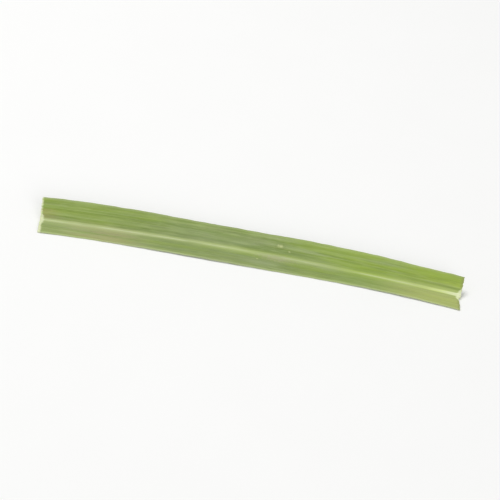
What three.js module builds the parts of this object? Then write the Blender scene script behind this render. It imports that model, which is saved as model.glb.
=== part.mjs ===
// One cut length of lemongrass leaf (Cymbopogon citratus), lying on a flat surface.
//
// Units are millimetres and +Z is up. +X runs along the blade, from the cut nearer the plant's base to the
// cut nearer the leaf's tip. +Y runs across it, from the half that lies down to the half that stands up from
// the fold.
//
// The leaf grew as one piece, so it is one closed solid: two thin halves joined at a midrib, with a rounded
// keel under the midrib and raised parallel veins on both faces. It rests on the flattened keel and on one
// margin. Each cross-section is three arcs joined end to end: the lying half, the fold and the standing half.

import * as THREE from "three";

// Driving dimensions.
const LENGTH = 150; // along the midrib, from cut to cut
const NEAR_HALF = 6.6; // from the midrib's middle to the margin that lies down
const FAR_HALF_BASE = 8.05; // from the midrib's middle to the margin that stands up, at the base end
const FAR_HALF_TIP = 7.1; // and at the tip end
const LAMINA = 0.6; // thickness of the blade between its veins
const MARGIN_NOSE = 0.18; // how far a margin's rounded edge stands out past the blade's flat faces
const KEEL = 0.85; // how far the keel stands out below the lamina
const KEEL_REACH = 1.35; // half the keel's width where it leaves the lamina
const FOLD_REACH = 1.1; // half the width over which the fold turns
const VEINS = 7; // raised veins in each half
const VEIN_HEIGHT = 0.07; // on each face

// How the blade is bent, in degrees, or in millimetres where a line says so.
const FAR_ANGLE = 47; // the standing half's rise from the surface, beside the fold
const FAR_CURL = 11; // how much of that rise is lost on the way to its margin
const NEAR_CURL = 7; // how much steeper the lying half falls at its margin than beside the fold
const SIDE_BOW = 3; // millimetres that the middle of the blade bows towards +Y
const FAR_SWELL = 0.3; // millimetres that the standing half gains from the cuts to the middle
const MARGIN_LIFT = 0.35; // millimetres that the lying margin lifts between the places where it rests

// Slow waves along the blade: how high, how many from cut to cut, and the share of a wave they start with.
const NEAR_WAVE = { size: 0.5, count: 1.35, start: -0.34 }; // the lying margin, in and out
const FAR_WAVE = { size: 0.3, count: 1.67, start: 0.05 }; // the standing margin, in and out
const FOLD_WAVE = { size: 3, count: 0.9, start: 0.1 }; // the standing half's rise, in degrees
const LIFT_WAVE = { size: 1, count: 1, start: -0.12 }; // its square is the share of MARGIN_LIFT

// The cuts. Their slants are in degrees from square, and the rest is in millimetres.
const BASE_CUT = -1; // at the base end
const NEAR_TIP_CUT = -9; // at the tip end, across the lying half
const FAR_TIP_CUT = -1; // and across the standing half
const NOTCH = 0.7; // how far the lying half is set back beside the midrib, at the tip cut
const NOTCH_START = 0.55; // from the midrib's middle to where the notch begins
const NOTCH_DEEPEST = 0.95; // to where it is deepest
const NOTCH_FADE = 1.2; // to where it begins to grow shallower
const NOTCH_REACH = 5.5; // to where it has settled
const NOTCH_LEFT = 0.2; // the share of its depth that is left from there to the margin
const NOTCH_DEPTH = 3; // how far back from the cut it is felt

// How finely the solid is divided.
const STATIONS = 46; // cross-sections along the blade
const RIB_POINTS = 9; // points across the midrib
const REST_FLAT = 0.07; // millimetres of the keel's roundness that rest has pressed flat
const LEAST_CLEARANCE = 0.01; // millimetres between the surface and the lying margin where it rests
const ANGLE_ROUNDS = 6; // rounds of correction that bring the lying margin down to its height

const { degToRad, lerp, smoothstep } = THREE.MathUtils;

// Places across one half of the blade, as shares of its width. Veins are evenly spaced between the midrib and
// the margin, with a valley after each.
function placesAcross(halfWidth) {
  const ribShare = KEEL_REACH / halfWidth;
  const places = [];
  for (let i = 0; i < 2 * VEINS; i++) places.push(lerp(ribShare, 1, (i + 1) / (2 * VEINS)));
  return places;
}

// How far a vein raises the surface at a distance s from the midrib, on a half of the given width.
function veinRise(s, halfWidth) {
  const along = (Math.abs(s) - KEEL_REACH) / (halfWidth - KEEL_REACH);
  if (along <= 0 || along >= 1) return 0;
  return VEIN_HEIGHT * (0.5 - 0.5 * Math.cos(2 * Math.PI * VEINS * along));
}

// How far the keel stands out below the lamina at a distance s from the midrib: a rounded bump.
function keelDepth(s) {
  const reach = Math.min(Math.abs(s) / KEEL_REACH, 1);
  return KEEL * (0.5 + 0.5 * Math.cos(Math.PI * reach));
}

// The point at a distance s along an arc that leaves `from` at `angle` and turns by `turn` per millimetre.
function alongArc(from, angle, turn, s) {
  const end = angle + turn * s;
  return {
    v: from.v + (Math.sin(end) - Math.sin(angle)) / turn,
    z: from.z + (Math.cos(angle) - Math.cos(end)) / turn,
    angle: end,
  };
}

// The middle of the lamina at a distance s from the midrib, with its tangent angle.
function midLine(s, shape) {
  const foldTurn = (shape.farAngle - shape.nearAngle) / (2 * FOLD_REACH);
  const centre = { v: 0, z: 0 };
  const centreAngle = (shape.farAngle + shape.nearAngle) / 2;
  const withinFold = Math.max(-FOLD_REACH, Math.min(FOLD_REACH, s));
  const edge = alongArc(centre, centreAngle, foldTurn, withinFold);
  if (s > FOLD_REACH) {
    const turn = -degToRad(FAR_CURL) / (shape.farHalf - FOLD_REACH);
    return alongArc(edge, edge.angle, turn, s - FOLD_REACH);
  }
  if (s < -FOLD_REACH) {
    const turn = -degToRad(NEAR_CURL) / (shape.nearHalf - FOLD_REACH);
    return alongArc(edge, edge.angle, turn, s + FOLD_REACH);
  }
  return edge;
}

// The tip of a margin's rounded edge, past the end of the lamina at a distance s from the midrib.
function marginNose(s, shape) {
  const { v, z, angle } = midLine(s, shape);
  const out = Math.sign(s) * MARGIN_NOSE;
  return { s: s + out, v: v + out * Math.cos(angle), z: z + out * Math.sin(angle) };
}

// One cross-section before it is lowered to rest: its upper and lower lines, from the near margin to the far
// one, the tips of its two margins, and how far it is lowered.
function outline(shape) {
  const near = placesAcross(shape.nearHalf).reverse().map((place) => -place * shape.nearHalf);
  const ribPlace = (_, i) => lerp(-KEEL_REACH, KEEL_REACH, i / (RIB_POINTS - 1));
  const rib = Array.from({ length: RIB_POINTS }, ribPlace);
  const far = placesAcross(shape.farHalf).map((place) => place * shape.farHalf);
  const upper = [];
  const lower = [];
  for (const s of [...near, ...rib, ...far]) {
    const half = s < 0 ? shape.nearHalf : shape.farHalf;
    const middle = midLine(s, shape);
    const reach = LAMINA / 2 + veinRise(s, half);
    const depth = reach + keelDepth(s);
    const across = Math.sin(middle.angle);
    const up = Math.cos(middle.angle);
    upper.push({ s, v: middle.v - across * reach, z: middle.z + up * reach });
    lower.push({ s, v: middle.v + across * depth, z: middle.z - up * depth });
  }
  const lowest = Math.min(...lower.slice(near.length, near.length + RIB_POINTS).map((p) => p.z));
  const noses = { near: marginNose(-shape.nearHalf, shape), far: marginNose(shape.farHalf, shape) };
  return { upper, lower, noses, drop: lowest + REST_FLAT };
}

// How high a slow wave stands at a share t of the length.
function waveAt({ size, count, start }, t) {
  return size * Math.sin(2 * Math.PI * (count * t + start));
}

// The shape at a share t of the length. The near half's angle is worked out so that its margin comes down to
// rest.
function shapeAt(t) {
  const taper = lerp(FAR_HALF_BASE, FAR_HALF_TIP, t);
  const shape = {
    nearHalf: NEAR_HALF + waveAt(NEAR_WAVE, t),
    farHalf: taper + FAR_SWELL * Math.sin(Math.PI * t) + waveAt(FAR_WAVE, t),
    farAngle: degToRad(FAR_ANGLE + waveAt(FOLD_WAVE, t)),
    nearAngle: 0,
  };
  const lift = LEAST_CLEARANCE + MARGIN_LIFT * waveAt(LIFT_WAVE, t) ** 2;
  for (let round = 0; round < ANGLE_ROUNDS; round++) {
    const { lower, drop } = outline(shape);
    const marginHeight = lower[0].z - drop;
    shape.nearAngle += (marginHeight - lift) / shape.nearHalf;
  }
  return shape;
}

// How far the tip cut is set back at a distance s from the midrib, beside a straight cut.
function notchAt(s) {
  const beside = smoothstep(-s, NOTCH_START, NOTCH_DEEPEST);
  return NOTCH * beside * lerp(1, NOTCH_LEFT, smoothstep(-s, NOTCH_FADE, NOTCH_REACH));
}

// The ring of points round the blade at a share t of its length, in space: from the near margin over the
// upper face to the far margin, and back over the lower face.
function ringAt(t) {
  const { upper, lower, noses, drop } = outline(shapeAt(t));
  const nearSlant = Math.tan(degToRad(lerp(BASE_CUT, NEAR_TIP_CUT, t)));
  const farSlant = Math.tan(degToRad(lerp(BASE_CUT, FAR_TIP_CUT, t)));
  const notchShare = Math.exp((-LENGTH * (1 - t)) / NOTCH_DEPTH);
  const centre = new THREE.Vector2(LENGTH * (t - 0.5), SIDE_BOW * (1 - (2 * t - 1) ** 2));
  const heading = Math.atan2(-4 * SIDE_BOW * (2 * t - 1), LENGTH);
  const place = ({ s, v, z }) => {
    const along = s * (s < 0 ? nearSlant : farSlant) - notchAt(s) * notchShare;
    return new THREE.Vector3(
      centre.x + along * Math.cos(heading) - v * Math.sin(heading),
      centre.y + along * Math.sin(heading) + v * Math.cos(heading),
      Math.max(z - drop, 0),
    );
  };
  return [noses.near, ...upper, noses.far, ...lower.reverse()].map(place);
}

// The triangles of the cut face inside a ring of the given size, as places on the ring. They face away from
// the blade.
function cutFace(size) {
  const triangles = [];
  for (let j = 0; j < size / 2; j++) {
    const below = (size - j) % size;
    if (j > 0) triangles.push([j, j + 1, below]);
    if (j + 1 < size / 2) triangles.push([j + 1, size - j - 1, below]);
  }
  return triangles;
}

// The closed surface through the rings, with a cut face at each end.
function bladeGeometry() {
  const rings = Array.from({ length: STATIONS }, (_, i) => ringAt(i / (STATIONS - 1)));
  const size = rings[0].length;
  const index = [];
  for (let i = 0; i + 1 < STATIONS; i++) {
    for (let j = 0; j < size; j++) {
      const next = (j + 1) % size;
      const [a, b] = [i * size + j, i * size + next];
      const [c, d] = [a + size, b + size];
      // The upper and the lower face have their diagonals over each other, which keeps the two faces apart.
      if (j < size / 2) index.push(a, c, b, b, c, d);
      else index.push(a, d, b, a, c, d);
    }
  }
  const last = (STATIONS - 1) * size;
  for (const [a, b, c] of cutFace(size)) index.push(a, b, c, last + a, last + c, last + b);
  const positions = rings.flat().flatMap((p) => [p.x, p.y, p.z]);
  const geometry = new THREE.BufferGeometry();
  geometry.setAttribute("position", new THREE.Float32BufferAttribute(positions, 3));
  geometry.setIndex(index);
  geometry.computeVertexNormals();
  return geometry;
}

const leafGreen = new THREE.MeshStandardMaterial({ color: 0x8fa45f, roughness: 0.55, metalness: 0 });

const blade = new THREE.Mesh(bladeGeometry(), leafGreen);
blade.name = "leaf_blade";

// The origin is under the middle of the blade's box, on the surface that it lies on.
const middle = new THREE.Box3().setFromObject(blade).getCenter(new THREE.Vector3());
blade.position.set(-middle.x, -middle.y, 0);

const lemongrass = new THREE.Group();
lemongrass.name = "lemongrass_leaf_length";
lemongrass.add(blade);

export default lemongrass;
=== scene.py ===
"""One cut length of lemongrass leaf on a pale floor, in soft studio light.

The CAD solid gives the leaf's place, length and fold. This script puts a finer leaf in its place: as
thin as a real one, with fine veins, ragged cuts and wandering margins. Its procedural material follows
the blade along and across. The near half is the one that lies on the floor, and the far half stands up
from the fold. Lengths are in millimetres and angles in degrees until a mesh or a light is made.
"""

import math
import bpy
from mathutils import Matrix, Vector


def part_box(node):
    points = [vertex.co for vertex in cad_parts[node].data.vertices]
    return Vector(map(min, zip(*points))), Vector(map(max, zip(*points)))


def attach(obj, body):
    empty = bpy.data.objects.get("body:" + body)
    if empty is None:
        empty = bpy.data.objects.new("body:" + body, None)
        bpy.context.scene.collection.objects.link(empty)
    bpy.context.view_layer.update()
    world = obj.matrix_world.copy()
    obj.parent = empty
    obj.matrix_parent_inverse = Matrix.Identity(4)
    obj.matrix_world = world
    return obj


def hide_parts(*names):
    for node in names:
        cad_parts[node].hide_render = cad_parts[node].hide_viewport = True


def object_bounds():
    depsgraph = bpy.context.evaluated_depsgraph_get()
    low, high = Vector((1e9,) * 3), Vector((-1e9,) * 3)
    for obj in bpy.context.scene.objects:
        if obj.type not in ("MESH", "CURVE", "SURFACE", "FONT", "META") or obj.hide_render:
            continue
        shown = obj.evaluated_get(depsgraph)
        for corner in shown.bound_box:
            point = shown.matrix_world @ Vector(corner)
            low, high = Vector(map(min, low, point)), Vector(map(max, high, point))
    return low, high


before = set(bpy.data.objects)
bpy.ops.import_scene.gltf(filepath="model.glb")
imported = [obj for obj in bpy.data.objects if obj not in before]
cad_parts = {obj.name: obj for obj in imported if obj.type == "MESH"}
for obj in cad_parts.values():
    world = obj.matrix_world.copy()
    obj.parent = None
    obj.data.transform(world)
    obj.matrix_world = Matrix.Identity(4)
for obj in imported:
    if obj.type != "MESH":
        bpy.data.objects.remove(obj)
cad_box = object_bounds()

from types import SimpleNamespace

import bpy
import numpy as np
from mathutils import Quaternion, Vector

MM = 0.001
NODE = "leaf_blade"
PIECE = "leaf_blade_fine"
SLOT = "leaf_tissue"
MAP_NAME = "OFBake"
MAP_EDGE = 0.004  # what the texture map leaves free along its sides, as a share of its width
SKIN_SHARE = 0.97  # the share of the map's width that the skin takes, before the cut faces
SEED = 7

# The blade's form, the same as the CAD solid's.
LENGTH = 150.0
NEAR_HALF = 6.6
FAR_HALF_BASE = 8.05
FAR_HALF_TIP = 7.1
FAR_SWELL = 0.3
KEEL_REACH = 1.35
KEEL_BOTTOM = 1.15  # from the middle of the blade's thickness down to the keel's lowest line
FOLD_REACH = 1.1
FAR_ANGLE = 47.0
FAR_CURL = 11.0
NEAR_CURL = 7.0
SIDE_BOW = 3.0
MARGIN_LIFT = 0.35
LEAST_CLEARANCE = 0.01
REST_FLAT = 0.07

# Its slow waves: how high, how many from cut to cut, and the share of a wave that they start with.
NEAR_WAVE = (0.5, 1.35, -0.34)  # the lying margin, in and out
FAR_WAVE = (0.3, 1.67, 0.05)  # the standing margin, in and out
FOLD_WAVE = (3.0, 0.9, 0.1)  # the standing half's rise, in degrees
LIFT_WAVE = (1.0, 1.0, -0.12)  # its square is the share of MARGIN_LIFT

# Its cuts: how far they slant from square, and the notch beside the midrib at the tip cut.
BASE_CUT = -1.0
NEAR_TIP_CUT = -9.0
FAR_TIP_CUT = -1.0
NOTCH = 0.7  # how far the lying half is set back there
NOTCH_START = 0.55  # from the midrib's middle to where the notch begins
NOTCH_DEEPEST = 0.95  # to where it is deepest
NOTCH_FADE = 1.2  # to where it begins to grow shallower
NOTCH_REACH = 5.5  # to where it has settled
NOTCH_LEFT = 0.2  # the share of its depth that is left from there to the margin
NOTCH_DEPTH = 3.0  # how far back from the cut it is felt

# The leaf's own thickness and relief.
RIB_EDGE = 0.19  # half the thickness of the blade beside the rib
MARGIN_RADIUS = 0.11  # half the thickness at the margins, which are rounded
VEINS = 7  # large veins in each half
VEIN_REACH = 0.13  # how wide one is, as a share of their spacing
VEINS_RISE = 0.03  # the share of the way from rib to margin over which veins grow to their full height
VEINS_SINK = 0.93  # the share from which they sink to nothing at the margin
SMALL_VEINS = 4  # small veins to each large one
SMALL_VEIN_REACH = 0.28  # how wide one is, as a share of their spacing
SMALL_VEIN_SHARE = 0.42  # how high one is, as a share of a large one
FINEST_VEINS = 5  # veins to each large one that are in the material only
UPPER_VEIN = 0.028  # how far a large vein stands out of the upper face
LOWER_VEIN = 0.05  # and out of the lower face
PLEATS = 2.6  # broad shallow pleats across each half
PLEAT_DEPTH = 0.06
PLEATS_RISE = 0.15  # the share of the way from rib to margin over which they grow to their full depth
BAND_REACH = 0.85  # half the width of the pale band over the midrib, at the base cut
BAND_NARROWING = 0.2  # how much less that is at the tip cut
BAND_MIDDLE = 0.12  # how far the band's middle lies towards the standing half
BAND_EDGE = (0.55, 1.1)  # where its edge begins and ends, as shares of that half width
BAND_RISE = 0.07  # how far the band stands out of the upper face
GROOVE_DEPTH = 0.06
GROOVE_REACH = 0.28  # how wide the groove along the band is
GROOVE_MIDDLE = -0.1  # where it runs, from the midrib's middle
KEEL_RIB = 0.018  # how far the keel's fine ribs stand out
KEEL_RIB_SPACING = 0.42
KEEL_SMOOTH = (0.12, 0.3)  # where the ribs begin beside its lowest strip, as shares of its reach
FIBRE_REACH = 0.14  # how far veins stick out of a cut
FIBRE_RATE = 5.3  # how fast the fibres' lengths change across the blade
CUT_SPAN = 16.0  # the width that a cut's wandering edge is drawn for
CUT_INMOST = -0.3  # how far in the edge of a cut may be
CUT_OUTMOST = 0.12  # and how far out
CUT_DEPTH = 1.3  # how far back from a cut its raggedness is felt

# Its random lines: how high, and about how many waves from end to end.
MARGIN_WANDER = (0.05, 14)  # each margin, in and out
FREE_WANDER = (0.22, 4)  # the standing margin, out of its plane
PLEAT_SHIFT = (0.25, 2)  # the pleats' places, as a share of a pleat
PLEAT_CHANGE = (0.5, 3)  # the pleats' depth, as a share of it
CUT_WANDER = (0.1, 9)  # the edge of a cut
RATE_LEAST = 0.6  # the least that a wave's rate may be, as a share of the even one
RATE_RANGE = 0.8  # and how much more it may be
WANDER_SUM = 1.4  # brings the sum of such waves back to about unit size

# Scars on the upper face, and a rubbed patch that shows on both: their place along and across, and half
# their length and width.
FLECKS = ((85.0, 4.1, 1.25, 0.6), (88.4, 2.7, 0.5, 0.28), (77.6, -2.6, 0.45, 0.25))
RUBBED_PATCH = (84.5, -0.9, 7.0, 1.6)
PATCH_SHIFT = 10.1  # which part of the noise the yellow and khaki patches take
WAX_SHEEN_SHIFT = 4.4  # and the wax with its painted sheen
STREAK_SHIFT = 13.1  # and the broad streaks
GRAIN_HEIGHT = 0.03  # how far the finest veins and the grain of the skin stand out
SCATTER_SCALE = 0.4  # how far light spreads under the skin

# How finely the mesh is divided.
STATIONS = 226
END_STATIONS = 13  # stations at each end over which the spacing grows to its full size
END_SPACING = 0.07  # the first spacing, as a share of the full one
POINTS_PER_VEIN = 12
RIB_POINTS = 33
ANGLE_ROUNDS = 8  # rounds of solving for the near half's angle
MARGIN_PART = 0.9  # the share of the near half beyond which a point belongs to its margin, for that


# ---------------------------------------------------------------- the leaf's form


def smooth(x, low, high):
    """0 below low, 1 above high, and a smooth step between."""
    x = np.clip((x - low) / (high - low), 0, 1)
    return x * x * (3 - 2 * x)


def wave(x, size, count, start):
    """A plain wave that rises and falls `count` times while x goes from 0 to 1."""
    return size * np.sin(2 * math.pi * (count * x + start))


def wander(x, rng, size, waves, harmonics=4):
    """A smooth random line about `size` high that waves about `waves` times while x goes from 0 to 1."""
    total = 0
    for k in range(1, harmonics + 1):
        rate = waves * (RATE_LEAST + RATE_RANGE * rng.random()) * k
        total = total + np.sin(2 * math.pi * (rate * x + rng.random())) / k
    return size * (total / WANDER_SUM)


def stations():
    """Places along the blade from 0 to 1, closer together towards the cuts."""
    steps = np.ones(STATIONS - 1)
    ramp = np.linspace(END_SPACING, 1, END_STATIONS)
    steps[:END_STATIONS] = ramp
    steps[-END_STATIONS:] = ramp[::-1]
    return np.concatenate([[0], np.cumsum(steps) / steps.sum()])


def arc(v, z, angle, turn, s):
    """Points at distances s along evenly turning arcs that leave (v, z) at an angle, and their angles."""
    end = angle + turn * s
    return v + (np.sin(end) - np.sin(angle)) / turn, z + (np.cos(angle) - np.cos(end)) / turn, end


def mid_line(s, shape):
    """The middle of the blade's thickness at distances s from the midrib, and the angle there."""
    fold_turn = (shape.far_angle - shape.near_angle) / (2 * FOLD_REACH)
    in_fold = np.clip(s, -FOLD_REACH, FOLD_REACH)
    v, z, angle = arc(0, 0, (shape.far_angle + shape.near_angle) / 2, fold_turn, in_fold)
    far_turn = -math.radians(FAR_CURL) / (shape.far_half - FOLD_REACH)
    near_turn = -math.radians(NEAR_CURL) / (shape.near_half - FOLD_REACH)
    return arc(v, z, angle, np.where(s > 0, far_turn, near_turn), s - in_fold)


def places_across(shape):
    """Distances s from the midrib, from the near margin to the far one, and for each the share w of the
    way from the rib to its margin."""
    w = np.arange(1, VEINS * POINTS_PER_VEIN + 1) / (VEINS * POINTS_PER_VEIN)
    rib = np.linspace(-1, 1, RIB_POINTS) * KEEL_REACH
    near = -(KEEL_REACH + (shape.near_half - KEEL_REACH) * w[::-1])
    far = KEEL_REACH + (shape.far_half - KEEL_REACH) * w
    s = np.hstack([near, np.broadcast_to(rib, (len(shape.t), RIB_POINTS)), far])
    half = np.where(s < 0, shape.near_half, shape.far_half)
    return s, (np.abs(s) - KEEL_REACH) / (half - KEEL_REACH)


def ridges(w):
    """How strongly a vein shows, from 0 to 1, at a share w of the way from rib to margin."""
    phase = np.clip(w, 0, 1) * VEINS
    small_phase = phase * SMALL_VEINS + 0.5
    large = np.exp(-(((phase % 1) - 0.5) / VEIN_REACH) ** 2)
    small = SMALL_VEIN_SHARE * np.exp(-(((small_phase % 1) - 0.5) / SMALL_VEIN_REACH) ** 2) * (1 - large)
    return (large + small) * smooth(w, 0, VEINS_RISE) * (1 - smooth(w, VEINS_SINK, 1))


def half_thickness(w):
    """Half the blade's thickness: even at first, thinner towards the margin."""
    return MARGIN_RADIUS + (RIB_EDGE - MARGIN_RADIUS) * (1 - smooth(w, 0.1, 1))


def rib_top(s, t):
    """The pale band over the midrib: a low flat swelling with a shallow groove along its middle."""
    reach = BAND_REACH - BAND_NARROWING * t
    swelling = 1 - smooth(np.abs(s - BAND_MIDDLE) / reach, *BAND_EDGE)
    groove = np.exp(-((s - GROOVE_MIDDLE) / GROOVE_REACH) ** 2)
    return BAND_RISE * swelling - GROOVE_DEPTH * groove


def keel(s):
    """The share of the keel's depth at a distance s from the midrib, and how far its ribs stand out."""
    reach = np.minimum(np.abs(s) / KEEL_REACH, 1)
    bump = 0.5 + 0.5 * np.cos(math.pi * reach)
    ribs = KEEL_RIB * np.cos(2 * math.pi * s / KEEL_RIB_SPACING)
    return bump, ribs * smooth(reach, *KEEL_SMOOTH) * (1 - reach)


def blade_shape(t, rng):
    """The widths and angles at every station. The near half's angle is solved later."""
    near = NEAR_HALF + wave(t, *NEAR_WAVE)
    taper = FAR_HALF_BASE + (FAR_HALF_TIP - FAR_HALF_BASE) * t
    far = taper + FAR_SWELL * np.sin(math.pi * t) + wave(t, *FAR_WAVE)
    angle = FAR_ANGLE + wave(t, *FOLD_WAVE)
    return SimpleNamespace(
        t=t[:, None],
        near_half=(near + wander(t, rng, *MARGIN_WANDER))[:, None],
        far_half=(far + wander(t, rng, *MARGIN_WANDER))[:, None],
        far_angle=np.radians(angle)[:, None],
        near_angle=np.zeros_like(t)[:, None],
        free_wave=wander(t, rng, *FREE_WANDER)[:, None],
        pleat_shift=wander(t, rng, *PLEAT_SHIFT)[:, None],
        pleat_size=(1 + wander(t, rng, *PLEAT_CHANGE))[:, None],
    )


def sections(shape):
    """Every section's middle line, and how far its faces lie above and below that line."""
    s, w = places_across(shape)
    v, z, angle = mid_line(s, shape)
    inside = np.clip(w, 0, 1)
    pleats = PLEAT_DEPTH * shape.pleat_size * np.sin(2 * math.pi * (PLEATS * inside + shape.pleat_shift))
    bend = pleats * smooth(w, 0, PLEATS_RISE) + np.where(s > 0, shape.free_wave, 0) * inside**2
    v, z = v - np.sin(angle) * bend, z + np.cos(angle) * bend
    half = half_thickness(w)
    vein = ridges(w)
    bump, keel_ribs = keel(s)
    rise = half + UPPER_VEIN * vein + rib_top(s, shape.t)
    fall = half + LOWER_VEIN * vein + (KEEL_BOTTOM - half) * bump + keel_ribs
    return SimpleNamespace(s=s, v=v, z=z, angle=angle, rise=rise, fall=fall, vein=vein)


def rounded_margin(section, column, side):
    """Three points round a margin, from the upper line to the lower: s, v, z, depth, vein and through."""
    r = section.rise[:, column]
    points = []
    for turn in (45, 0, -45):
        out = side * r * math.cos(math.radians(turn))
        up = r * math.sin(math.radians(turn))
        angle = section.angle[:, column]
        points.append(
            (
                section.s[:, column] + out,
                section.v[:, column] + out * np.cos(angle) - up * np.sin(angle),
                section.z[:, column] + out * np.sin(angle) + up * np.cos(angle),
                up,
                np.zeros_like(r),
                up / r,
            )
        )
    return points


def rings(shape):
    """The rings of points round the blade, each from the near margin over the upper face to the far
    margin and back below. `through` is 1 on the upper face and -1 on the lower one."""
    c = sections(shape)
    sine, cosine = np.sin(c.angle), np.cos(c.angle)
    top = np.ones_like(c.s)
    upper = (c.s, c.v - sine * c.rise, c.z + cosine * c.rise, c.rise, c.vein, top)
    lower = (c.s, c.v + sine * c.fall, c.z - cosine * c.fall, -c.fall, c.vein, -top)
    near = rounded_margin(c, 0, -1)
    far = rounded_margin(c, -1, 1)
    found = []
    for k in range(6):
        near_high, near_nose, near_low = (p[k][:, None] for p in near)
        far_points = [p[k][:, None] for p in far]
        found.append(
            np.hstack([near_nose, near_high, upper[k], *far_points, lower[k][:, ::-1], near_low])
        )
    s, v, z, depth, vein, through = found
    inward = np.where(s < 0, shape.near_half, shape.far_half) - np.abs(s)
    return SimpleNamespace(s=s, v=v, z=z, depth=depth, vein=vein, through=through, inward=inward)


def rest_on_floor(shape):
    """The rings, lowered to the floor, with the near half's angle solved so that its margin meets it."""
    lift = LEAST_CLEARANCE + MARGIN_LIFT * wave(shape.t[:, 0], *LIFT_WAVE) ** 2
    for _ in range(ANGLE_ROUNDS):
        ring = rings(shape)
        drop = np.where(np.abs(ring.s) < KEEL_REACH, ring.z, np.inf).min(1) + REST_FLAT
        near_margin = ring.s < -MARGIN_PART * shape.near_half
        margin = np.where(near_margin, ring.z, np.inf).min(1) - drop
        shape.near_angle += ((margin - lift) / shape.near_half[:, 0])[:, None]
    ring.z = np.maximum(ring.z - drop[:, None], 0)
    return ring


def ragged(s, vein, rng):
    """How far a cut's edge sticks out: a wandering line with the veins' fibres standing proud of it."""
    line = wander(s / CUT_SPAN, rng, *CUT_WANDER, harmonics=5)
    fibres = FIBRE_REACH * vein * (0.5 + 0.5 * np.sin(FIBRE_RATE * s + 2 * rng.random()))
    return np.clip(line + fibres, CUT_INMOST, CUT_OUTMOST)


def notch(s):
    """How far the tip cut is set back at a distance s from the midrib."""
    beside = smooth(-s, NOTCH_START, NOTCH_DEEPEST)
    return NOTCH * beside * (1 - (1 - NOTCH_LEFT) * smooth(-s, NOTCH_FADE, NOTCH_REACH))


def slants(t, ring, rng):
    """How far along the blade each point is moved for the cuts' slant, their raggedness and the notch."""
    tip_cut = np.where(ring.s < 0, NEAR_TIP_CUT, FAR_TIP_CUT)
    slant = np.tan(np.radians(BASE_CUT + (tip_cut - BASE_CUT) * t)) * ring.s
    from_base = t * LENGTH
    from_tip = (1 - t) * LENGTH
    slant = slant - ragged(ring.s, ring.vein, rng) * np.exp(-from_base / CUT_DEPTH)
    slant = slant + ragged(ring.s, ring.vein, rng) * np.exp(-from_tip / CUT_DEPTH)
    return slant - notch(ring.s) * np.exp(-from_tip / NOTCH_DEPTH)


def place(t, ring, rng):
    """The rings' points in space, following the blade's bow and its slanted, ragged cuts."""
    slant = slants(t, ring, rng)
    x = LENGTH * (t - 0.5)
    y = SIDE_BOW * (1 - (2 * t - 1) ** 2)
    heading = np.arctan2(-4 * SIDE_BOW * (2 * t - 1), LENGTH)
    return np.stack(
        [
            x + slant * np.cos(heading) - ring.v * np.sin(heading),
            y + slant * np.sin(heading) + ring.v * np.cos(heading),
            ring.z,
        ],
        axis=-1,
    )


# ---------------------------------------------------------------- the mesh


def side_faces(count, size):
    """The quads between the rings."""
    i = np.arange(count - 1)[:, None] * size
    j = np.arange(size)
    k = (j + 1) % size
    return np.stack([i + j, i + size + j, i + size + k, i + k], axis=-1).reshape(-1, 4)


def cut_faces(count, size):
    """The faces that close the two ends, between the upper and the lower half of a ring."""
    faces = []
    last = (count - 1) * size
    for j in range(size // 2):
        above, above_next = j, j + 1
        below, below_next = (size - j) % size, size - j - 1
        corners = [above, above_next]
        if below_next != above_next:
            corners.append(below_next)
        if below != above:
            corners.append(below)
        faces.append(corners)
        faces.append([last + c for c in reversed(corners)])
    return faces


def add_attribute(mesh, name, vectors):
    """A vector at each point for the material to read."""
    attribute = mesh.attributes.new(name, "FLOAT_VECTOR", "POINT")
    attribute.data.foreach_set("vector", np.ascontiguousarray(vectors, np.float32).ravel())


def mark_cut_edges(mesh, count, size):
    """Keeps the shading from running round the rims of the two cuts."""
    ends = np.empty(len(mesh.edges) * 2, np.int32)
    mesh.edges.foreach_get("vertices", ends)
    ends = ends.reshape(-1, 2)
    sharp = (ends < size).all(1) | (ends >= (count - 1) * size).all(1)
    attribute = mesh.attributes.new("sharp_edge", "BOOLEAN", "EDGE")
    attribute.data.foreach_set("value", sharp)


def add_map(mesh, ring, t):
    """Unrolls the leaf's skin from the lying margin round to it again, over most of the map's width, and
    lays the two cut faces beside it."""
    count, size = ring.s.shape
    middle = count // 2
    section = np.stack([ring.v[middle], ring.z[middle]])
    sides = np.hypot(*np.diff(section, append=section[:, :1]))
    girth = np.concatenate([[0], np.cumsum(sides)]) / sides.sum()
    u = MAP_EDGE + (SKIN_SHARE - MAP_EDGE) * np.stack([t[:-1], t[1:], t[1:], t[:-1]], axis=-1)
    v = MAP_EDGE + (1 - 2 * MAP_EDGE) * np.stack([girth[:-1], girth[:-1], girth[1:], girth[1:]], axis=-1)
    skin = np.stack(np.broadcast_arrays(u[:, None], v[None]), axis=-1).reshape(-1, 2)

    ends = ring.s[[0, -1]]
    across = (ends - ends.min()) / np.ptp(ends)
    cut_u = np.where(ring.through[[0, -1]] > 0, 1 - MAP_EDGE, SKIN_SHARE + MAP_EDGE)
    cut_v = MAP_EDGE + (0.5 - 2 * MAP_EDGE) * across + np.array([[0], [0.5]])  # half the height for each
    cuts = np.stack([cut_u, cut_v], axis=-1)
    corners = np.empty(len(mesh.loops), np.int32)
    mesh.loops.foreach_get("vertex_index", corners)
    corners = corners[len(skin):]
    at_tip = corners >= size
    cap = cuts[at_tip.astype(int), corners % size]
    layer = mesh.uv_layers.new(name=MAP_NAME, do_init=False)
    layer.uv.foreach_set("vector", np.concatenate([skin, cap]).astype(np.float32).ravel())


def centre_in_frame(points):
    """Moves the points sideways so that their box is centred where the CAD node's box is."""
    low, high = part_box(NODE)
    middle = (np.array(low) + np.array(high)) / 2
    own = (points.reshape(-1, 3).min(0) + points.reshape(-1, 3).max(0)) / 2
    return points + [middle[0] - own[0], middle[1] - own[1], 0]


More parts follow.
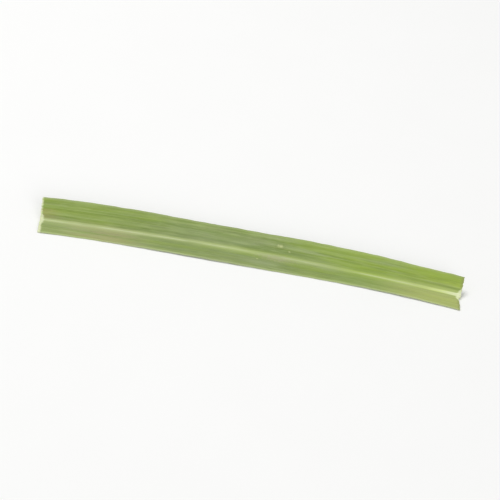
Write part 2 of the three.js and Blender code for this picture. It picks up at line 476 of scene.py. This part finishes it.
def make_leaf(material):
    """Puts the fine leaf in the CAD node's place."""
    rng = np.random.default_rng(SEED)
    shape = blade_shape(stations(), rng)
    ring = rest_on_floor(shape)
    points = centre_in_frame(place(shape.t, ring, rng) * MM)
    count, size = ring.s.shape
    mesh = bpy.data.meshes.new(PIECE)
    faces = [*side_faces(count, size).tolist(), *cut_faces(count, size)]
    mesh.from_pydata(points.reshape(-1, 3).tolist(), [], faces)
    along = np.broadcast_to(shape.t * LENGTH, ring.s.shape)
    add_attribute(mesh, "blade", np.stack([along, ring.s, ring.depth], axis=-1))
    add_attribute(mesh, "tissue", np.stack([ring.vein, ring.inward, ring.through], axis=-1))
    mesh.polygons.foreach_set("use_smooth", np.ones(len(mesh.polygons), bool))
    mark_cut_edges(mesh, count, size)
    add_map(mesh, ring, shape.t[:, 0])
    mesh.materials.append(material)
    mesh.validate()
    leaf = bpy.data.objects.new(PIECE, mesh)
    bpy.context.scene.collection.objects.link(leaf)
    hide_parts(NODE)
    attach(leaf, "root")


# ---------------------------------------------------------------- materials


def colour(code):
    """A colour written as in a web page, as linear red, green, blue and 1."""
    parts = [int(code[i : i + 2], 16) / 255 for i in (0, 2, 4)]
    return [p / 12.92 if p <= 0.04045 else ((p + 0.055) / 1.055) ** 2.4 for p in parts] + [1]


class Nodes:
    """Adds nodes to one material, with each input set or linked."""

    def __init__(self, name):
        self.material = bpy.data.materials.new(name)
        self.material.use_nodes = True
        self.tree = self.material.node_tree
        self.shader = self.tree.nodes["Principled BSDF"]

    def set(self, socket, value):
        if isinstance(value, bpy.types.NodeSocket):
            self.tree.links.new(value, socket)
        else:
            socket.default_value = value

    def add(self, kind, output, inputs, **settings):
        node = self.tree.nodes.new(kind)
        for name, value in settings.items():
            setattr(node, name, value)
        for key, value in inputs.items():
            self.set(node.inputs[key], value)
        return node.outputs[output]

    def math(self, operation, a, b=0.0):
        return self.add("ShaderNodeMath", 0, {0: a, 1: b}, operation=operation)

    def times(self, a, b):
        return self.math("MULTIPLY", a, b)

    def step(self, x, low, high, start=0.0, end=1.0):
        """A smooth step from start to end while x goes from low to high."""
        inputs = {"Value": x, "From Min": low, "From Max": high, "To Min": start, "To Max": end}
        return self.add("ShaderNodeMapRange", 0, inputs, interpolation_type="SMOOTHSTEP")

    def mix(self, share, a, b):
        """Colour a where the share is 0, and b where it is 1."""
        return self.add("ShaderNodeMix", 2, {0: share, 6: a, 7: b}, data_type="RGBA")

    def noise(self, vector, scale, detail=2.0):
        inputs = {"Vector": vector, "Scale": scale, "Detail": detail}
        return self.add("ShaderNodeTexNoise", 0, inputs)

    def drawn_noise(self, vector, x, y, z, shift=0.0, detail=2.0):
        """Noise with x, y and z waves to a unit along each axis. The shift takes another part of it."""
        inputs = {0: vector, 1: (x, y, z), 2: (shift, shift, shift)}
        drawn = self.add("ShaderNodeVectorMath", 0, inputs, operation="MULTIPLY_ADD")
        return self.noise(drawn, 1.0, detail)

    def attribute(self, name):
        """The vector attribute of that name, whole and in its three parts."""
        vector = self.add("ShaderNodeAttribute", "Vector", {}, attribute_name=name)
        split = self.tree.nodes.new("ShaderNodeSeparateXYZ")
        self.set(split.inputs[0], vector)
        return vector, *split.outputs

    def within(self, x, low, high, soft):
        """1 between low and high, and 0 outside, with edges of the given softness."""
        return self.times(self.step(x, low - soft, low + soft), self.step(x, high + soft, high - soft))


def finest_veins(n, at):
    """The finest veins between the large ones, from -1 to 1, weaker in some places than in others."""
    from_rib = n.math("ABSOLUTE", at.across)
    width = n.math("SUBTRACT", n.math("ADD", at.inward, from_rib), KEEL_REACH)
    share = n.math("DIVIDE", n.math("SUBTRACT", from_rib, KEEL_REACH), width)
    drift = n.times(n.drawn_noise(at.blade, 0.02, 0.2, 0), 6)
    turns = n.math("ADD", n.times(share, 2 * math.pi * VEINS * FINEST_VEINS), drift)
    strength = n.step(n.drawn_noise(at.blade, 0.06, 0.8, 0), 0.3, 0.6, 0.25, 1)
    return n.times(n.math("SINE", turns), strength)


def leaf_places(n):
    """The values that say where on the leaf a point is, and its finest patterns. Along, across, depth,
    inward and to_cut are in millimetres, and across is above 0 on the standing half."""
    blade, along, across, depth = n.attribute("blade")
    _, vein, inward, through = n.attribute("tissue")
    at = SimpleNamespace(
        blade=blade,
        along=along,
        across=across,
        depth=depth,
        vein=vein,
        inward=inward,
        through=through,
        upper=n.step(through, 0.0, 0.6),
        to_cut=n.math("MINIMUM", along, n.math("SUBTRACT", LENGTH, along)),
    )
    at.fine = n.drawn_noise(blade, 0.02, 3.2, 0, detail=3)
    at.lines = finest_veins(n, at)
    return at


def green_and_tip_light(n, at):
    """The leaf's green: greyer in the middle of its length, and yellower towards the cuts. Towards the
    tip cut it is also painted brighter, as painted light for the light that falls there and shines
    through the blade.
    """
    slow = n.drawn_noise(at.blade, 0.02, 0.12, 0, detail=1)
    towards_tip = n.math("ADD", at.along, n.times(slow, 24))
    towards_base = n.math("ADD", at.along, n.times(slow, 30))
    green = n.mix(n.step(towards_base, 46, 8, 0, 0.7), colour("819447"), colour("8DA338"))
    green = n.mix(n.step(towards_tip, 86, 122, 0, 0.8), green, colour("8CA52C"))
    # Partly painted light: the last stretch before the tip cut is lighter for the light it catches.
    green = n.mix(n.step(towards_tip, 132, 161), green, colour("A2B62E"))
    return n.mix(n.step(towards_tip, 149, 160, 0, 0.5), green, colour("B6CA50"))


# Lengthwise streaks, from the longest to the shortest: the noise's waves to a millimetre, its detail and
# its shift. Then, for the dark streaks and for the light ones, the noise's values where they begin and
# where they are full, their strength and their colour.
STREAKS = (
    ((0.008, 0.6, 0), 2, STREAK_SHIFT, (0.46, 0.64, 0.6, "6A7F3A"), (0.46, 0.3, 0.3, "A2B467")),
    ((0.018, 1.5, 3), 2, 0.0, (0.5, 0.66, 0.5, "697E3D"), (0.48, 0.32, 0.5, "A9BA75")),
    ((0.11, 1.0, 2), 1, 0.0, (0.5, 0.7, 0.3, "6E833F"), (0.48, 0.3, 0.3, "A6B770")),
    ((0.22, 2.4, 2), 2, 0.0, (0.5, 0.66, 0.2, "71863F"), (0.48, 0.34, 0.22, "A8B976")),
)


def streaked(n, at, green):
    """Lengthwise streaks at five scales, a broad painted highlight along a pleat of the standing half,
    and the veins.
    """
    for waves, detail, shift, dark, light in STREAKS:
        value = n.drawn_noise(at.blade, *waves, shift=shift, detail=detail)
        for begin, full, strength, code in (dark, light):
            green = n.mix(n.step(value, begin, full, 0, strength), green, colour(code))
    green = n.mix(n.step(at.fine, 0.5, 0.75, 0, 0.3), green, colour("A7B873"))
    # A painted highlight: the light that a broad pleat of the standing half catches.
    broad = n.times(n.within(at.across, 2.7, 3.6, 0.6), n.step(at.along, 95, 55))
    green = n.mix(n.times(broad, 0.25), green, colour("B4C284"))
    green = n.mix(n.step(at.lines, 0.0, 1.0, 0, 0.22), green, colour("A9BA78"))
    green = n.mix(n.step(at.lines, 0.0, -1.0, 0, 0.2), green, colour("667A3A"))
    return n.mix(n.times(at.vein, 0.2), green, colour("AFC07E"))


def patchy(n, at, green):
    """Long patches of yellower green and of khaki. The yellower ones are mostly near the cuts."""
    patches = n.drawn_noise(at.blade, 0.032, 0.3, 4, shift=PATCH_SHIFT, detail=2)
    by_cut = n.times(n.step(at.to_cut, 48, 14), n.step(at.across, 1.2, 3.5, 0.25, 1))
    yellow = n.math("ADD", n.step(patches, 0.5, 0.68, 0, 0.45), n.times(by_cut, 0.3))
    green = n.mix(yellow, green, colour("90A934"))
    return n.mix(n.step(patches, 0.46, 0.3, 0, 0.35), green, colour("8E9866"))


def wax_and_sheen(n, at, green):
    """A thin greyish wax that lies in long patches, and is worn off towards the cuts. The patches are
    partly painted sheen as well as wax.
    """
    patches = n.drawn_noise(at.blade, 0.035, 0.28, 0, shift=WAX_SHEEN_SHIFT, detail=3)
    kept = n.step(at.to_cut, 10, 45, 0.35, 1)
    # Greyish wax, partly a painted sheen of soft highlights.
    return n.mix(n.times(n.step(patches, 0.48, 0.72, 0, 0.42), kept), green, colour("9DAA7E"))


def lying_half(n, at, green):
    """The lying half is greyer, partly from its wax and partly as painted sheen on its upturned face. It
    is paler by the base cut, of a livelier and slightly darker green where it nears the tip, the darkness
    partly painted shade, and straw-coloured at the tip cut. A beige patch near the base cut is strongest
    on it."""
    lying = n.step(at.across, 0.2, -1.5)
    # Greyer: partly the wax, partly painted sheen on the upturned face.
    green = n.mix(n.times(lying, 0.22), green, colour("7F8C58"))
    pale = n.times(lying, n.step(at.along, 32, 8))
    green = n.mix(n.times(pale, 0.14), green, colour("BCC592"))
    # A livelier green, darker in part as painted shade.
    fresh_and_shade = n.times(n.step(at.across, 2.5, 0.5), n.within(at.along, 107, 124, 6))
    green = n.mix(n.times(fresh_and_shade, 0.25), green, colour("77992A"))
    straw = n.times(lying, n.step(at.along, 112, 138))
    green = n.mix(n.times(straw, 0.45), green, colour("B7BB78"))
    patch = n.times(n.step(at.along, 5, 17), n.step(at.along, 44, 26))
    patch = n.times(patch, n.step(n.drawn_noise(at.blade, 0.05, 0.5, 0), 0.35, 0.6))
    return n.mix(n.times(patch, n.step(at.across, 2.5, -1.0, 0, 0.42)), green, colour("B3A87E"))


def underside(n, at, green):
    """The lower face is paler and greyer, its veins show more, and its keel is the palest."""
    under = n.step(at.through, 0.3, -0.3)
    green = n.mix(n.times(under, 0.45), green, colour("A4B48C"))
    green = n.mix(n.times(n.times(under, at.vein), 0.55), green, colour("CDD8B4"))
    valleys = n.times(under, n.step(at.lines, 0.2, -0.9))
    green = n.mix(n.times(valleys, 0.25), green, colour("72875A"))
    keel_share = n.times(n.step(at.depth, -0.3, -0.8), under)
    return n.mix(n.times(keel_share, 0.75), green, colour("CFD7AE"))


def light_beside_band(n, at, green):
    """Painted light beside the midrib: its pale green laid over each half next to it, lifting the fold's
    shade there. It reaches over the lying half more at the base end, and over the standing half more at
    the tip end and before the middle."""
    lying = n.times(n.step(at.across, -2.8, -0.3), n.step(at.across, 1.2, 0.3))
    lying = n.times(lying, n.step(at.along, 70, 0, 0.19, 0.4))
    standing = n.times(n.step(at.across, 2.4, 0.4), n.step(at.across, -0.6, 0.3))
    wider = n.times(n.within(at.along, 52, 74, 6), 0.5)
    standing = n.times(standing, n.math("MAXIMUM", n.step(at.along, 95, 130, 0.2, 0.45), wider))
    pale = n.mix(n.within(at.along, 105, 125, 6), colour("B9C58A"), colour("B4C66A"))
    # Painted light over the fold's shade beside the midrib.
    return n.mix(n.times(n.math("MAXIMUM", lying, standing), at.upper), green, pale)


def band_colour(n, at):
    """Pale green that is yellower towards the tip, and nearly white at the tip cut."""
    pale = n.mix(n.step(at.along, 20, 60), colour("C2CB90"), colour("B4C27C"))
    pale = n.mix(n.step(at.along, 98, 112), pale, colour("B2C562"))
    pale = n.mix(n.step(at.along, 116, 144), pale, colour("D8E58C"))
    return n.mix(n.step(at.along, 142, 149), pale, colour("E8EFC2"))


def pale_band(n, at, green):
    """The pale band over the midrib, narrower towards the tip, with a thin brighter line along it."""
    from_middle = n.math("ABSOLUTE", n.math("SUBTRACT", at.across, BAND_MIDDLE))
    reach = n.math("SUBTRACT", BAND_REACH, n.times(at.along, BAND_NARROWING / LENGTH))
    uneven = n.math("ADD", from_middle, n.times(n.drawn_noise(at.blade, 0.03, 1, 0), 0.3))
    band = n.times(n.step(n.math("SUBTRACT", uneven, reach), 0.3, -0.05), at.upper)
    strength = n.step(n.drawn_noise(at.blade, 0.05, 0.1, 7), 0.3, 0.7, 0.34, 0.54)
    strength = n.math("ADD", strength, n.step(at.along, 132, 148, 0, 0.35))
    green = n.mix(n.times(band, strength), green, band_colour(n, at))
    line = n.times(n.step(from_middle, 0.4, 0.1), at.upper)
    clear = n.step(n.drawn_noise(at.blade, 0.07, 0.1, 3), 0.35, 0.65, 0.1, 0.4)
    return n.mix(n.times(line, clear), green, colour("DFE8BC"))


def pale_margins(n, at, green):
    """A thin pale line along each margin, clearer along the lying one."""
    nose = n.step(n.math("ABSOLUTE", at.through), 0.95, 0.5)
    line = n.step(at.inward, 0.75, 0.15)
    share = n.times(line, n.step(at.across, 1, -1, 0.2, 0.42))
    green = n.mix(share, green, colour("C0CB98"))
    return n.mix(n.times(nose, 0.45), green, colour("C8D0A4"))


def spot_reach(n, at, spot):
    """How far a point is from a spot's middle: 0 there and 1 at its ragged rim."""
    along, across, length, width = spot
    x = n.times(n.math("SUBTRACT", at.along, along), 1 / length)
    y = n.times(n.math("SUBTRACT", at.across, across), 1 / width)
    reach = n.math("SQRT", n.math("ADD", n.times(x, x), n.times(y, y)))
    return n.math("ADD", reach, n.step(n.noise(at.blade, 1.7), 0.3, 0.7, -0.3, 0.3))


def rubbed(n, at, green):
    """A dull, faintly pink patch where the leaf was rubbed, on the midrib and the lying half by it."""
    return n.mix(n.step(spot_reach(n, at, RUBBED_PATCH), 1.3, 0.2, 0, 0.38), green, colour("B2AB92"))


def flecked(n, at, green):
    """A few small scars: a pale middle in a slightly darker ring."""
    for fleck in FLECKS:
        reach = spot_reach(n, at, fleck)
        green = n.mix(n.times(n.step(reach, 2.2, 1.0, 0, 0.3), at.upper), green, colour("76843F"))
        green = n.mix(n.times(n.step(reach, 1.3, 0.0, 0, 0.7), at.upper), green, colour("C9D193"))
    return green


def dried_and_shaded_cuts(n, at, green):
    """Cream at the midrib's ends and along the base cut, broad over its lying half, with tan behind that
    cut. Painted shade darkens the tip cut's rim where it is away from the midrib, and keeps the cream off
    it."""
    tan = n.times(n.step(at.along, 9, 1), n.within(at.across, 0.9, 4.2, 0.4))
    green = n.mix(n.times(tan, 0.4), green, colour("A89E62"))
    # Painted shade: the tip cut's rim darkened away from the midrib, where its cut face is in shade.
    dull = n.times(n.step(at.along, 141, 145), n.step(n.math("ABSOLUTE", at.across), 1.5, 3.2))
    green = n.mix(n.times(dull, n.step(at.to_cut, 1.3, 0.2, 0, 0.5)), green, colour("8A9059"))
    uneven = n.drawn_noise(at.blade, 0.3, 1.3, 1.3)
    by_rib = n.step(n.math("ABSOLUTE", at.across), 3.2, 0.8, 0, 1.1)
    along_base = n.times(n.step(at.across, 2.5, 0.5, 0.25, 0.6), n.step(at.along, 9, 5))
    reach = n.math("SUBTRACT", n.math("ADD", at.to_cut, uneven), n.math("MAXIMUM", by_rib, along_base))
    reach = n.math("ADD", reach, n.times(dull, 0.6))
    return n.mix(n.step(reach, 1.1, 0.3, 0, 0.85), green, colour("E3E9BC"))


def cut_face(n, at, green):
    """The cut faces: pale flesh between two green skins, with the veins' bundles darker in it."""
    face = n.step(at.to_cut, 0.03, 0.005)
    flesh = n.mix(n.times(at.vein, 0.45), colour("DDE3B6"), colour("A5B46C"))
    skin = n.step(n.math("ABSOLUTE", at.through), 0.72, 0.95)
    return n.mix(face, green, n.mix(n.times(skin, 0.55), flesh, colour("8FA252")))


# What lies over the leaf's green, painted light and shade among it, from the first layer to the last.
LAYERS = (
    streaked,
    patchy,
    wax_and_sheen,
    lying_half,
    underside,
    light_beside_band,
    pale_band,
    rubbed,
    pale_margins,
    flecked,
    dried_and_shaded_cuts,
    cut_face,
)


def leaf_material():
    """Fresh lemongrass leaf: waxy green with fine lengthwise veins, a pale midrib and cream cuts."""
    n = Nodes(SLOT)
    at = leaf_places(n)
    green = green_and_tip_light(n, at)
    for layer in LAYERS:
        green = layer(n, at, green)
    n.set(n.shader.inputs["Base Color"], green)
    n.set(n.shader.inputs["Roughness"], n.step(at.fine, 0.3, 0.7, 0.42, 0.58))
    n.shader.inputs["IOR"].default_value = 1.42
    n.shader.inputs["Subsurface Weight"].default_value = 0.08
    n.shader.inputs["Subsurface Radius"].default_value = (0.6, 1.0, 0.25)
    n.shader.inputs["Subsurface Scale"].default_value = SCATTER_SCALE * MM
    grain = n.drawn_noise(at.blade, 0.35, 5.0, 5.0, detail=3)
    height = n.math("ADD", grain, n.times(at.lines, 0.6))
    bump = n.add("ShaderNodeBump", 0, {"Strength": 0.6, "Distance": GRAIN_HEIGHT * MM, "Height": height})
    n.set(n.shader.inputs["Normal"], bump)
    return n.material


def floor_material():
    """Plain pale board with the faintest mottle."""
    n = Nodes("studio_floor")
    place_on_floor = n.add("ShaderNodeTexCoord", "Object", {})
    mottle = n.noise(place_on_floor, 30.0)
    n.set(n.shader.inputs["Base Color"], n.mix(n.times(mottle, 0.5), colour("F8F8F7"), colour("F4F4F3")))
    n.shader.inputs["Roughness"].default_value = 0.75
    n.shader.inputs["Specular IOR Level"].default_value = 0.2
    return n.material


# ---------------------------------------------------------------- floor, light and camera

# Sizes here are in metres but for those that end in MM, and powers are in watts.
FLOOR_REACH = 3.0
FLOOR_GAP_MM = 0.03  # keeps the floor and the pressed keel out of one plane
CAMERA_RISE = 38.5
CAMERA_TURN = 4.5  # from looking straight at the leaf's side, towards its tip cut
CAMERA_ROLL = 7.5  # slopes the leaf down to its tip end across the picture, as if it lay on a heap
CAMERA_DISTANCE = 0.78
FIELD_WIDTH = 0.175  # what the picture is wide, at the leaf
SENSOR_WIDTH_MM = 36.0
WORLD_LIGHT = 0.46
KEY_POWER = 6.3
KEY_PLACE = (-0.3, 0.25, 1.05)
KEY_SIZE = 0.55
FILL_POWER = 5.6
FILL_PLACE = (0.5, -1.1, 0.7)
FILL_SIZE = 0.9


def make_floor():
    bpy.ops.mesh.primitive_plane_add(size=2 * FLOOR_REACH, location=(0, 0, -FLOOR_GAP_MM * MM))
    floor = bpy.context.object
    floor.name = "studio_floor"
    floor.data.materials.append(floor_material())


def make_area_light(name, power, where, size):
    data = bpy.data.lights.new(name, "AREA")
    data.shape = "DISK"
    data.size = size
    data.energy = power
    light = bpy.data.objects.new(name, data)
    light.location = where
    light.rotation_euler = (-Vector(where)).to_track_quat("-Z", "Y").to_euler()
    bpy.context.scene.collection.objects.link(light)


def make_world():
    world = bpy.data.worlds.new("studio")
    world.use_nodes = True
    background = world.node_tree.nodes["Background"]
    background.inputs["Color"].default_value = (1, 1, 1, 1)
    background.inputs["Strength"].default_value = WORLD_LIGHT
    bpy.context.scene.world = world


def make_camera():
    """A camera at the photograph's viewing angle on the leaf, close enough for it to fill the picture."""
    low, high = cad_box
    target = (Vector(low) + Vector(high)) / 2
    rise, turn = math.radians(CAMERA_RISE), math.radians(CAMERA_TURN)
    away = Vector((math.sin(turn) * math.cos(rise), -math.cos(turn) * math.cos(rise), math.sin(rise)))
    data = bpy.data.cameras.new("camera")
    data.sensor_width = SENSOR_WIDTH_MM
    data.lens = SENSOR_WIDTH_MM * CAMERA_DISTANCE / FIELD_WIDTH
    data.clip_start = 0.01
    camera = bpy.data.objects.new("camera", data)
    camera.location = target + CAMERA_DISTANCE * away
    level = (-away).to_track_quat("-Z", "Y")
    camera.rotation_euler = (level @ Quaternion((0, 0, 1), math.radians(CAMERA_ROLL))).to_euler()
    bpy.context.scene.collection.objects.link(camera)
    bpy.context.scene.camera = camera


make_leaf(leaf_material())
make_floor()
make_world()
make_area_light("key", KEY_POWER, KEY_PLACE, KEY_SIZE)
make_area_light("fill", FILL_POWER, FILL_PLACE, FILL_SIZE)
make_camera()
bpy.context.scene.view_settings.view_transform = "Standard"
